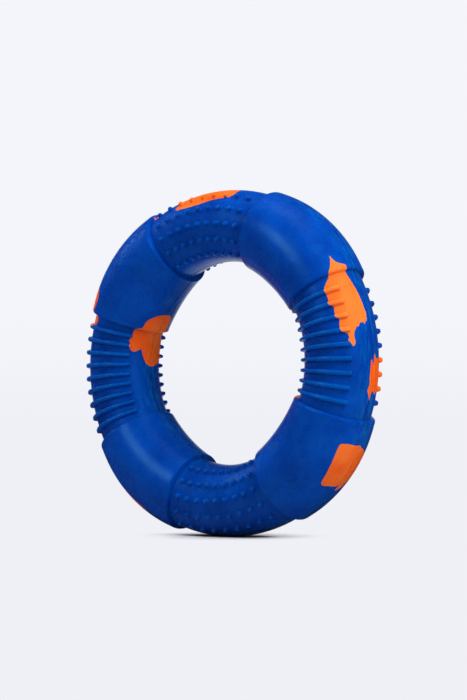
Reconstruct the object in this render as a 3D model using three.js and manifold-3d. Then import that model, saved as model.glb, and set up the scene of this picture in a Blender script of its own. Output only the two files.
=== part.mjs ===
// Dog ring toy: a hollow moulded rubber ring, about 150 mm across, standing upright on its rim.
// Two half shells meet at the ring's middle plane, y = 0, where a fine parting line shows.
// Round the ring go four smooth thick collars, with ribbed stretches between them at the left
// and right and nubby stretches at the top and bottom. Patches of orange rubber lie flush in
// the blue skin, each a piece of its own, with the ribs and nubs above it in its own colour.
// Millimetres, +Z up, ring axis along Y, front face towards -Y, floor at z = 0.

import * as THREE from 'three';
import { mergeVertices } from 'three/addons/utils/BufferGeometryUtils.js';
import Module from 'manifold-3d';

const wasm = await Module();
wasm.setup();

// Ring and tube
const RING_RADIUS = 57;
const TUBE_RADIUS = 14.9;
const CORE_RADIUS = 8.9;
const RING_TURN = 4.9;
const CONTACT_FLAT_DEPTH = 0.4;
const CENTRE_HEIGHT = RING_RADIUS + TUBE_RADIUS - CONTACT_FLAT_DEPTH;

// Collars, evenly round the ring; angles are in degrees
const COLLARS = 4;
const COLLAR_PITCH = 360 / COLLARS;
const COLLAR_RADIUS = 17.8;
const COLLAR_SHOULDER_RADIUS = 17;
const COLLAR_HALF_ANGLE = 20.5;
const LIP_ANGLE = 2;

// Parting line: a small bevel on the edge of each half
const BEVEL_DEPTH = 0.3;
const BEVEL_ANGLE = 1.6;

// Ribs
const RIBS_PER_FACE = 9;
const RIB_PITCH = 4.93;
const RIB_FAN = 0.905;
const RIB_START = 37.7;
const RIB_END = 140.6;
const RIB_TIP_ANGLE = 2.8;
const RIB_TIP_SCALE = 0.45;
const RIB_HEIGHT = 1.6;
const RIB_WIDTH_OUTER = 2;
const RIB_WIDTH_INNER = 1.5;
const RIB_CROWN_WIDTH = 0.56;

// Nubs
const NUBS_PER_ROW = 9;
const NUB_ROWS = 5;
const NUB_PITCH = 5;
const NUB_ROW_PITCH = 25.2;
const NUB_RADIUS = 0.95;
const NUB_HEIGHT = 1.55;
const NUB_SHOULDER = 0.62;
const NUB_SIDES = 5;

// How deep the roots of ribs and nubs reach into the skin, and the tube's frontmost angle
const ROOT_DEPTH = 0.6;
const FACE_ANGLE = 90;

// Orange patches
const PATCH_DEPTH = 1.5;
const PATCH_GAP = 0.3;
const PATCH_CLEARANCE_ABOVE = 4;

// Steps of the faceted skin
const STRETCH_STEPS = 6;
const COLLAR_STEPS = 4;
const LIP_STEPS = [0.3];
const SECTION_STEPS = 8;
const CORE_RING_STEPS = 24;
const CORE_SECTION_STEPS = 8;
const PATCH_RING_STEP = 8;
const PATCH_SECTION_STEP = 20;
const WELD_DISTANCE = 1e-5;

const BLUE = 0x0a46a6;
const ORANGE = 0xee6a17;

const blueRubber = new THREE.MeshStandardMaterial({ color: BLUE, roughness: 0.5, metalness: 0 });
const orangeRubber = new THREE.MeshStandardMaterial({ color: ORANGE, roughness: 0.52, metalness: 0 });

const toRadians = THREE.MathUtils.degToRad;
const toDegrees = THREE.MathUtils.radToDeg;

// Each patch is a band of skin. A station is [angle round the ring, then the two angles round
// the tube between which the patch lies there]. Angles round the tube start at the outer rim
// and grow over the front face; SEAM_OUT and SEAM_IN run past the parting line.
const SEAM_OUT = 5;
const SEAM_IN = 185;
const FRONT_PATCHES = {
  top_patch_front: [
    [75.4, -SEAM_OUT, 25], [77.4, -SEAM_OUT, 43], [81, -SEAM_OUT, 50], [89, -SEAM_OUT, 58],
    [99, -SEAM_OUT, 57], [102, -SEAM_OUT, 46],
  ],
  upper_left_patch: [
    [146.3, 14, 42], [149, 7, 52], [155, 4, 55], [159.5, 6, 53], [161.8, 14, 44],
  ],
  upper_left_chip: [
    [110.8, 20, 36], [112.2, 15, 43], [114.6, 15, 42], [115.8, 21, 33],
  ],
  inner_left_patch_front: [
    [143.6, 172, SEAM_IN], [145.6, 162, SEAM_IN], [150, 151, SEAM_IN], [154.5, 148, SEAM_IN],
    [158, 139, SEAM_IN], [165.4, 135, SEAM_IN], [167.2, 139, SEAM_IN], [168.4, 158, SEAM_IN],
    [174.4, 169, SEAM_IN], [176.2, 178, SEAM_IN],
  ],
  right_patch: [
    [-0.9, 34.5, 39], [1.2, 32, 42], [3.6, 30, 44], [4.4, 28, 51], [6, 22, 53],
    [7.3, 6, 53], [9, 5, 57], [14, 8, 61], [20.4, 14, 62], [22.4, 16, 56], [25.4, 18, 46],
    [26.8, 26, 41], [30, 33, 36.5],
  ],
  right_rim_patch_front: [
    [-16.4, -SEAM_OUT, 4], [-14.4, -SEAM_OUT, 7], [-12.4, -SEAM_OUT, 5], [-5, -SEAM_OUT, 4],
  ],
  lower_right_patch_front: [
    [311.8, 8, 24], [312.8, 5, 29], [314, -SEAM_OUT, 30], [322, -SEAM_OUT, 32],
    [325.6, -SEAM_OUT, 33], [327.6, -SEAM_OUT, 24],
  ],
  lower_left_patch: [
    [221, 12, 34], [224, 5, 39], [232, 4, 42], [236.4, 6, 40], [238.6, 14, 35],
  ],
  lower_right_chip: [
    [331.8, 147, 157], [333.2, 142, 167], [335.4, 142, 169], [336.6, 148, 161],
  ],
};
const REAR_PATCHES = {
  top_patch_rear: [
    [77, -SEAM_OUT, 20], [81, -SEAM_OUT, 34], [88, -SEAM_OUT, 41], [97, -SEAM_OUT, 37],
    [101.4, -SEAM_OUT, 22],
  ],
  inner_left_patch_rear: [
    [144, 172, SEAM_IN], [148, 166, SEAM_IN], [153.2, 161, SEAM_IN], [158, 154, SEAM_IN],
    [164, 146, SEAM_IN], [169, 139, SEAM_IN], [172, 140, SEAM_IN], [174.6, 156, SEAM_IN],
    [176.2, 170, SEAM_IN],
  ],
  right_rim_patch_rear: [
    [-17.4, -SEAM_OUT, 6], [-15.6, -SEAM_OUT, 30], [-12, -SEAM_OUT, 44], [-6.6, -SEAM_OUT, 46],
    [-3.8, -SEAM_OUT, 42], [-3, -SEAM_OUT, 18],
  ],
  lower_right_patch_rear: [
    [312, -SEAM_OUT, 10], [313.4, -SEAM_OUT, 22], [317, -SEAM_OUT, 34], [322, -SEAM_OUT, 38],
    [325.2, -SEAM_OUT, 30], [326.8, -SEAM_OUT, 12],
  ],
  bottom_patch: [
    [272, 8, 26], [274, -SEAM_OUT, 40], [279, -SEAM_OUT, 46], [285, -SEAM_OUT, 40],
    [288, 8, 24],
  ],
};

// Angle from the middle of the nearest collar
function angleFromCollar(phi) {
  return Math.abs(THREE.MathUtils.euclideanModulo(phi, COLLAR_PITCH) - COLLAR_PITCH / 2);
}

// Radius of the tube's skin at an angle round the ring: plain tube, rounded lip, crowned collar
function skinRadius(phi) {
  const away = angleFromCollar(phi);
  const crown = COLLAR_HALF_ANGLE - LIP_ANGLE;
  if (away >= COLLAR_HALF_ANGLE) {
    return TUBE_RADIUS;
  }
  if (away > crown) {
    const rise = (COLLAR_HALF_ANGLE - away) / LIP_ANGLE;
    return TUBE_RADIUS + (COLLAR_SHOULDER_RADIUS - TUBE_RADIUS) * Math.sqrt(1 - (1 - rise) ** 2);
  }
  return COLLAR_RADIUS - (COLLAR_RADIUS - COLLAR_SHOULDER_RADIUS) * (away / crown) ** 2;
}

// The two directions across the tube at an angle round the ring, and the tube's middle there
function tubeFrame(phi, lean = phi) {
  const along = toRadians(phi + RING_TURN);
  const tilt = toRadians(lean + RING_TURN);
  return {
    middle: new THREE.Vector3(
      RING_RADIUS * Math.cos(along),
      0,
      CENTRE_HEIGHT + RING_RADIUS * Math.sin(along),
    ),
    outward: new THREE.Vector3(Math.cos(tilt), 0, Math.sin(tilt)),
    forward: new THREE.Vector3(-Math.sin(tilt), 0, Math.cos(tilt)),
  };
}

// A point at an angle round the tube (psi); side is 1 on the front half and -1 on the rear
function tubePoint(frame, psi, radius, side, shift = 0) {
  const onPlane = psi % 180 === 0;
  const depth = onPlane ? 0 : -side * radius * Math.sin(toRadians(psi));
  return frame.middle.clone()
    .addScaledVector(frame.outward, radius * Math.cos(toRadians(psi)))
    .addScaledVector(frame.forward, shift)
    .add(new THREE.Vector3(0, depth, 0));
}

// Even steps from one value to another, both ends included
function evenSteps(from, to, count) {
  return Array.from({ length: count + 1 }, (unused, k) => from + (to - from) * k / count);
}

// Angles round the ring at which the skin has an edge, a collar's foot and lip among them
function skinStations() {
  const stations = [];
  const crown = COLLAR_HALF_ANGLE - LIP_ANGLE;
  for (let collar = 0; collar < COLLARS; collar += 1) {
    const middle = (collar + 0.5) * COLLAR_PITCH;
    const foot = middle - COLLAR_HALF_ANGLE;
    const end = middle + COLLAR_HALF_ANGLE;
    stations.push(foot, ...LIP_STEPS.map((part) => foot + part * LIP_ANGLE));
    stations.push(...evenSteps(middle - crown, middle + crown, COLLAR_STEPS));
    stations.push(...LIP_STEPS.map((part) => end - part * LIP_ANGLE).reverse());
    stations.push(...evenSteps(end, foot + COLLAR_PITCH, STRETCH_STEPS).slice(0, -1));
  }
  return stations;
}

// Closed solid from positions and triangles, with its faces turned outwards
function toSolid(geometry) {
  const bare = geometry.clone();
  bare.deleteAttribute('normal');
  bare.deleteAttribute('uv');
  const merged = mergeVertices(bare, WELD_DISTANCE);
  const positions = merged.getAttribute('position');
  const corners = [];
  let volume = 0;
  for (let k = 0; k < merged.index.count; k += 3) {
    const [a, b, c] = [0, 1, 2].map((step) => merged.index.getX(k + step));
    if (a === b || b === c || c === a) {
      continue;
    }
    corners.push(a, b, c);
    const [p, q, r] = [a, b, c].map((at) => new THREE.Vector3().fromBufferAttribute(positions, at));
    volume += p.dot(q.cross(r));
  }
  if (volume < 0) {
    corners.reverse();
  }
  return new wasm.Manifold(new wasm.Mesh({
    numProp: 3,
    vertProperties: new Float32Array(positions.array),
    triVerts: new Uint32Array(corners),
  }));
}

// Skin through a row of loops with equal counts; a row that closes on itself needs no end caps
function loft(loops, closesOnItself) {
  const count = loops[0].length;
  const corners = [];
  const rows = closesOnItself ? loops.length : loops.length - 1;
  for (let row = 0; row < rows; row += 1) {
    const next = (row + 1) % loops.length;
    for (let k = 0; k < count; k += 1) {
      const after = (k + 1) % count;
      const a = row * count + k;
      const b = row * count + after;
      const c = next * count + after;
      const d = next * count + k;
      corners.push(a, b, c, a, c, d);
    }
  }
  if (!closesOnItself) {
    corners.push(...cap(count, 0, true), ...cap(count, (loops.length - 1) * count, false));
  }
  const geometry = new THREE.BufferGeometry().setFromPoints(loops.flat());
  geometry.setIndex(corners);
  return toSolid(geometry);
}

// End cap: rungs between the two sides of a loop
function cap(count, first, reversed) {
  const corners = [];
  for (let low = 0, high = count - 1; low + 1 <= high - 1; low += 1, high -= 1) {
    corners.push(low, low + 1, high);
    if (low + 1 < high - 1) {
      corners.push(low + 1, high - 1, high);
    }
  }
  const placed = corners.map((k) => first + k);
  return reversed ? placed.reverse() : placed;
}

// Half of the ring as a solid tube, cut flat on the middle plane
function halfTube(side) {
  const angles = evenSteps(0, 180, SECTION_STEPS).slice(1, -1);
  return loft(skinStations().map((phi) => {
    const frame = tubeFrame(phi);
    const radius = skinRadius(phi);
    return [
      tubePoint(frame, 0, radius - BEVEL_DEPTH, side),
      tubePoint(frame, BEVEL_ANGLE, radius, side),
      ...angles.map((psi) => tubePoint(frame, psi, radius, side)),
      tubePoint(frame, 180 - BEVEL_ANGLE, radius, side),
      tubePoint(frame, 180, radius - BEVEL_DEPTH, side),
    ];
  }), true);
}

// The hollow inside the tube, all the way round
function hollow() {
  return loft(evenSteps(0, 360, CORE_RING_STEPS).slice(1).map((phi) => {
    const frame = tubeFrame(phi);
    return evenSteps(0, 360, CORE_SECTION_STEPS).slice(1)
      .map((psi) => tubePoint(frame, psi, CORE_RADIUS, 1));
  }), true);
}

// Positions of a counted row, centred on zero
function centredRow(count, pitch) {
  return Array.from({ length: count }, (unused, k) => (k - (count - 1) / 2) * pitch);
}

// One rib across a face of a ribbed stretch whose middle is at angle centre
function rib(centre, offset, side) {
  const frame = tubeFrame(centre + offset, centre + offset * RIB_FAN);
  const faceted = evenSteps(0, 180, SECTION_STEPS)
    .filter((psi) => psi > RIB_START + RIB_TIP_ANGLE * 2 && psi < RIB_END - RIB_TIP_ANGLE * 2);
  const stations = [
    [RIB_START, RIB_TIP_SCALE],
    [RIB_START + RIB_TIP_ANGLE, 1],
    ...faceted.map((psi) => [psi, 1]),
    [RIB_END - RIB_TIP_ANGLE, 1],
    [RIB_END, RIB_TIP_SCALE],
  ];
  return loft(stations.map(([psi, scale]) => {
    const part = (psi - RIB_START) / (RIB_END - RIB_START);
    const half = THREE.MathUtils.lerp(RIB_WIDTH_OUTER, RIB_WIDTH_INNER, part) * scale / 2;
    const height = RIB_HEIGHT * scale;
    const at = (rise, shift) => tubePoint(frame, psi, TUBE_RADIUS + rise, side, shift);
    return [
      at(-ROOT_DEPTH, -half),
      at(height, -half * RIB_CROWN_WIDTH),
      at(height, half * RIB_CROWN_WIDTH),
      at(-ROOT_DEPTH, half),
    ];
  }), false);
}

// One domed nub standing square on the skin
function nub(phi, psi, side) {
  const frame = tubeFrame(phi);
  const foot = tubePoint(frame, psi, TUBE_RADIUS, side);
  const upright = foot.clone().sub(frame.middle).normalize();
  const profile = [
    new THREE.Vector2(0, -ROOT_DEPTH),
    new THREE.Vector2(NUB_RADIUS, -ROOT_DEPTH),
    new THREE.Vector2(NUB_RADIUS, NUB_HEIGHT * NUB_SHOULDER),
    new THREE.Vector2(0, NUB_HEIGHT),
  ];
  const peg = new THREE.LatheGeometry(profile, NUB_SIDES);
  peg.applyQuaternion(new THREE.Quaternion().setFromUnitVectors(new THREE.Vector3(0, 1, 0), upright));
  peg.translate(foot.x, foot.y, foot.z);
  return toSolid(peg);
}

// A half shell before its patches are let in: stretches between collars are ribbed and nubby in turn
function halfShell(side) {
  let shell = halfTube(side).subtract(hollow());
  for (let stretch = 0; stretch < COLLARS; stretch += 2) {
    for (const offset of centredRow(RIBS_PER_FACE, RIB_PITCH)) {
      shell = shell.add(rib(stretch * COLLAR_PITCH, offset, side));
    }
  }
  for (let stretch = 1; stretch < COLLARS; stretch += 2) {
    for (const offset of centredRow(NUBS_PER_ROW, NUB_PITCH)) {
      for (const row of centredRow(NUB_ROWS, NUB_ROW_PITCH)) {
        shell = shell.add(nub(stretch * COLLAR_PITCH + offset, FACE_ANGLE + row, side));
      }
    }
  }
  const span = (RING_RADIUS + COLLAR_RADIUS) * 2;
  const floor = new THREE.BoxGeometry(span, span, COLLAR_RADIUS);
  floor.translate(0, 0, -COLLAR_RADIUS / 2);
  return shell.subtract(toSolid(floor));
}

// The two edges of a patch at an angle round the ring, and how fast each runs off sideways
function patchEdges(stations, phi) {
  const last = stations.findIndex((station) => station[0] >= phi);
  const [from, to] = last <= 0 ? stations.slice(0, 2) : stations.slice(last - 1, last + 1);
  const part = (phi - from[0]) / (to[0] - from[0]);
  return [1, 2].map((edge) => ({
    psi: THREE.MathUtils.lerp(from[edge], to[edge], part),
    drift: (to[edge] - from[edge]) / (to[0] - from[0]),
  }));
}

// Angles round the ring along a patch: its stations, the lips that it crosses, even steps
function patchAngles(stations) {
  const start = stations[0][0];
  const end = stations.at(-1)[0];
  const angles = new Set(stations.map((station) => station[0]));
  for (const phi of evenSteps(start, end, Math.ceil((end - start) / PATCH_RING_STEP))) {
    angles.add(phi);
  }
  for (const station of skinStations()) {
    for (const phi of [station, station - 360]) {
      const nearLip = Math.abs(angleFromCollar(phi) - COLLAR_HALF_ANGLE) <= LIP_ANGLE;
      if (nearLip && phi > start && phi < end) {
        angles.add(phi);
      }
    }
  }
  return [...angles].sort((a, b) => a - b);
}

// Block of space over a patch's outline, grown sideways by margin, from depth under the skin
function patchBlock(stations, margin, depth, side) {
  const angles = patchAngles(stations);
  const widest = Math.max(...stations.map((station) => station[2] - station[1]));
  const columns = Math.ceil(widest / PATCH_SECTION_STEP);
  return loft(angles.map((phi, k) => {
    const radius = skinRadius(phi);
    const [low, high] = patchEdges(stations, phi).map(({ psi, drift }) => {
      const reach = RING_RADIUS + radius * Math.cos(toRadians(psi));
      return { psi, reach, grow: toDegrees(margin * Math.hypot(1, drift * radius / reach) / radius) };
    });
    const atEnd = (k === angles.length - 1) - (k === 0);
    const frame = tubeFrame(phi + atEnd * toDegrees(margin / low.reach));
    const across = evenSteps(low.psi - low.grow, high.psi + high.grow, columns);
    return [
      ...across.map((psi) => tubePoint(frame, psi, radius - depth, side)),
      ...across.map((psi) => tubePoint(frame, psi, radius + PATCH_CLEARANCE_ABOVE, side)).reverse(),
    ];
  }), false);
}

// Named mesh from a finished solid
function meshOf(name, solid, material) {
  const { vertProperties, triVerts } = solid.getMesh();
  const geometry = new THREE.BufferGeometry();
  geometry.setAttribute('position', new THREE.BufferAttribute(vertProperties, 3));
  geometry.setIndex(new THREE.BufferAttribute(triVerts, 1));
  geometry.computeVertexNormals();
  const mesh = new THREE.Mesh(geometry, material);
  mesh.name = name;
  return mesh;
}

const ringToy = new THREE.Group();
for (const [name, side, patches] of [
  ['front_half_shell', 1, FRONT_PATCHES],
  ['rear_half_shell', -1, REAR_PATCHES],
]) {
  const whole = halfShell(side);
  let shell = whole;
  for (const [patchName, stations] of Object.entries(patches)) {
    const patch = whole.intersect(patchBlock(stations, -PATCH_GAP / 2, PATCH_DEPTH, side));
    shell = shell.subtract(patchBlock(stations, PATCH_GAP / 2, PATCH_DEPTH + PATCH_GAP, side));
    ringToy.add(meshOf(patchName, patch, orangeRubber));
  }
  ringToy.add(meshOf(name, shell, blueRubber));
}

export default ringToy;
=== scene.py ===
# %% [markdown]
# # A moulded rubber ring toy
#
# This lesson dresses a hollow rubber ring that dogs chew and carry. The real one is moulded in two
# halves that meet on the ring's middle plane. Its tube is smooth and thick at four collars, ribbed
# at the left and right, and nubby at the top and bottom. Blobs of orange rubber were laid into the
# mould with the blue, so they lie flush in the skin, and the ribs and nubs above them are orange.
#
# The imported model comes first. It fixes where everything is, and nothing in it is moved here.

# %% Load the frame
import math
from functools import partial

import bmesh
import bpy
import numpy as np
from mathutils import Matrix, Vector
from mathutils.geometry import delaunay_2d_cdt


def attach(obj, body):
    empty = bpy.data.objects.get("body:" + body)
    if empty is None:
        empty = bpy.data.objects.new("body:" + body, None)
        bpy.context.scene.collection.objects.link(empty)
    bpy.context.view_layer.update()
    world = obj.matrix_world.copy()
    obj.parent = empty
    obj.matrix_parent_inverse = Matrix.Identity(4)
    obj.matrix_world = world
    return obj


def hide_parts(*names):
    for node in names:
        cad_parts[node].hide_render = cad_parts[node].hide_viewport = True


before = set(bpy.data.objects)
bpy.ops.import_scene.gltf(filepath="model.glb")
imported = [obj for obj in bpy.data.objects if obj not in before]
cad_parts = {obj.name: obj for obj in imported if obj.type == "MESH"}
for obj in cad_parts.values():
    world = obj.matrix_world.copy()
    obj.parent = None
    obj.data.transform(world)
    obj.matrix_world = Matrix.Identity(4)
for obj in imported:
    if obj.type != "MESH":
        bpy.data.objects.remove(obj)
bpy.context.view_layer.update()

# %% [markdown]
# ## Sizes
#
# Everything follows from a few sizes. Lengths are written in millimetres and turned to metres
# once. Angles round the ring start at +X and grow towards +Z. Angles round the tube start at the
# outer rim and grow over the front face, so the parting plane is at 0 and 180 degrees.

# %% Sizes of the ring
MM = 0.001
RING_RADIUS = 57 * MM
TUBE_RADIUS = 14.9 * MM
CORE_RADIUS = 8.9 * MM
RING_TURN = 4.9
CONTACT_FLAT_DEPTH = 0.4 * MM
CENTRE_HEIGHT = RING_RADIUS + TUBE_RADIUS - CONTACT_FLAT_DEPTH

FULL_TURN = 360.0
COLLARS = 4
COLLAR_PITCH = FULL_TURN / COLLARS
COLLAR_RADIUS = 17.75 * MM
COLLAR_SHOULDER_RADIUS = 17 * MM
COLLAR_HALF_ANGLE = 20.5
LIP_ANGLE = 1.8
LIP_BLUNTNESS = 0.45

GROOVE_DEPTH = 0.3 * MM
GROOVE_ANGLE = 2.1
WAVE_DEPTH = 0.1 * MM

print("ring across the tube, mm:", round((RING_RADIUS + TUBE_RADIUS) * 2 / MM, 1))

# %% [markdown]
# ## Helpers for node trees
#
# A node tree is only a list of nodes and links. One function adds a node with its settings and
# links. Its inputs are given by name, or in their order. A value on an input may be a number, a
# socket, or another node, which means its first output. One more function starts a shader, two
# start a geometry tree with named inputs and end it, and one grows a plain mesh from it. A
# modifier's input is set by its identifier before the object is evaluated.

# %% Helpers for node trees
TAU = math.tau
WELD_DISTANCE = 1e-6
MATH = "ShaderNodeMath"
RANGE = "ShaderNodeMapRange"
COMBINE = "ShaderNodeCombineXYZ"
SEPARATE = "ShaderNodeSeparateXYZ"
VECTOR_MATH = "ShaderNodeVectorMath"
NOISE = "ShaderNodeTexNoise"
MIX = "ShaderNodeMix"
PRINCIPLED = "ShaderNodeBsdfPrincipled"
SOCKET_KINDS = {int: "NodeSocketInt", float: "NodeSocketFloat", bpy.types.Material: "NodeSocketMaterial"}


def add_node(tree, kind, links=(), **settings):
    """A node with its settings, and with numbers, sockets or nodes on its inputs."""
    node = tree.nodes.new(kind)
    for name, value in settings.items():
        setattr(node, name, value)
    for place, value in links.items() if isinstance(links, dict) else enumerate(links):
        if isinstance(value, bpy.types.Node):
            value = value.outputs[0]
        if isinstance(value, bpy.types.NodeSocket):
            tree.links.new(value, node.inputs[place])
        else:
            node.inputs[place].default_value = value
    return node


def start_shader(owner):
    """A function that adds nodes to the emptied node tree of a material or a world."""
    owner.use_nodes = True
    owner.node_tree.nodes.clear()
    return partial(add_node, owner.node_tree)


def start_tree(name, inputs):
    """A geometry tree with named inputs, a function that adds nodes to it, and its input sockets."""
    tree = bpy.data.node_groups.new(name, "GeometryNodeTree")
    tree.interface.new_socket("Geometry", in_out="OUTPUT", socket_type="NodeSocketGeometry")
    for label, value in inputs.items():
        kind = SOCKET_KINDS[type(value)]
        tree.interface.new_socket(label, in_out="INPUT", socket_type=kind).default_value = value
    add = partial(add_node, tree)
    return tree, add, add("NodeGroupInput").outputs


def end_tree(add, geometry, material):
    """Real geometry with its material, handed to the tree's output."""
    real = add("GeometryNodeRealizeInstances", {"Geometry": geometry})
    painted = add("GeometryNodeSetMaterial", {"Geometry": real, "Material": material})
    add("NodeGroupOutput", {"Geometry": painted})


def put(name, data):
    """New object in the scene with this mesh, lamp or camera."""
    thing = bpy.data.objects.new(name, data)
    bpy.context.scene.collection.objects.link(thing)
    return thing


def grow(name, tree, inputs):
    """Plain mesh object that the tree makes with these inputs."""
    seed = put(name + "_seed", bpy.data.meshes.new(name + "_seed"))
    modifier = seed.modifiers.new("grow", "NODES")
    modifier.node_group = tree
    for item in tree.interface.items_tree:
        if item.in_out == "INPUT" and item.name in inputs:
            modifier[item.identifier] = inputs[item.name]
    return settle(name, seed)


def settle(name, source):
    """Plain mesh object of what source looks like with its modifiers; source is removed."""
    evaluated = source.evaluated_get(bpy.context.evaluated_depsgraph_get())
    mesh = bpy.data.meshes.new_from_object(evaluated)
    mesh.name = name
    bpy.data.objects.remove(source)
    return put(name, mesh)


def measure(thing):
    """Prints the faces, the open edges and the volume, which is positive when faces point outwards."""
    shape = bmesh.new()
    shape.from_mesh(thing.data)
    volume = shape.calc_volume(signed=True) / MM**3
    open_edges = sum(not edge.is_manifold for edge in shape.edges)
    shape.free()
    print(f"{thing.name}: {len(thing.data.polygons)} faces, {volume:.0f} mm3, {open_edges} open edges")


# %% [markdown]
# ## Rubber
#
# Both colours look like rubber with pigment, pressed in a blasted steel mould. That gives a
# satin skin: soft sheens, a fine grain, and cloudy colour where the pigment is not quite even. A
# thin bloom of wax comes to the surface and pales it. It pales the crowns of ribs and nubs most,
# partly as wear where they are handled and partly as a painted highlight on tops that catch the
# light. Fine scuffs run along both rims, where the flash of a mould is trimmed off, and grime sits
# in the groove of the parting line. The same function makes both colours. Each piece gets two
# attributes further down: how dark its pigment is, which on the orange patches also paints in the
# light and shade that fall on them, and `rise`, how far a point stands above the plain skin, in
# millimetres.
#
# Each layer is mixed over the last, so the eye gets large clouds first, then streaks, then
# scuffs, and the grain only where light grazes it.

# %% Rubber materials
CLOUD_SIZE = 13 * MM
STREAK_SIZE = 5 * MM
SCUFF_SIZE = 1.0 * MM
SCUFF_LENGTH = 5.0
SCUFF_REACH = 8 * MM
GRAIN_SIZE = 0.55 * MM
PEEL_SIZE = 2.6 * MM
SPECK_PITCH = 7 * MM
PEEL_DEPTH = 0.08 * MM
PEEL_STRENGTH = 0.5
GRAIN_DEPTH = 0.02 * MM
GRAIN_STRENGTH = 0.3
CLOUD_LOW = 0.36
CLOUD_HIGH = 0.64
CLOUD_SWING = 0.3
FILM_START = 0.5
FILM_FULL = 0.78
CROWN_FOOT = 0.7
CROWN_TOP = 1.5
CROWN_WEAR_AND_HIGHLIGHT = 0.15
SCRATCH_START = 0.48
SCRATCH_FULL = 0.62
DUST_CORE = 0.03
DUST_EDGE = 0.05
DUST_BLOOM = 0.25
GRIME_CORE = 0.1 * MM
GRIME_EDGE = 0.4 * MM
GRIME_STRENGTH = 1.4
GRIME_COLOUR = (0.15, 0.15, 0.15, 1.0)
STREAK_FRAY = 0.65
STREAK_SWIRL = 0.6
STREAK_LOW = 0.3
STREAK_HIGH = 0.7
POLISH = 0.05
DULLING = 0.07
RUBBER_IOR = 1.45


def linear(hex_colour):
    """Linear colour with alpha from an sRGB hex value."""
    parts = [(hex_colour >> shift & 255) / 255 for shift in (16, 8, 0)]
    bent = [p / 12.92 if p <= 0.04045 else ((p + 0.055) / 1.055) ** 2.4 for p in parts]
    return (*bent, 1.0)


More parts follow.
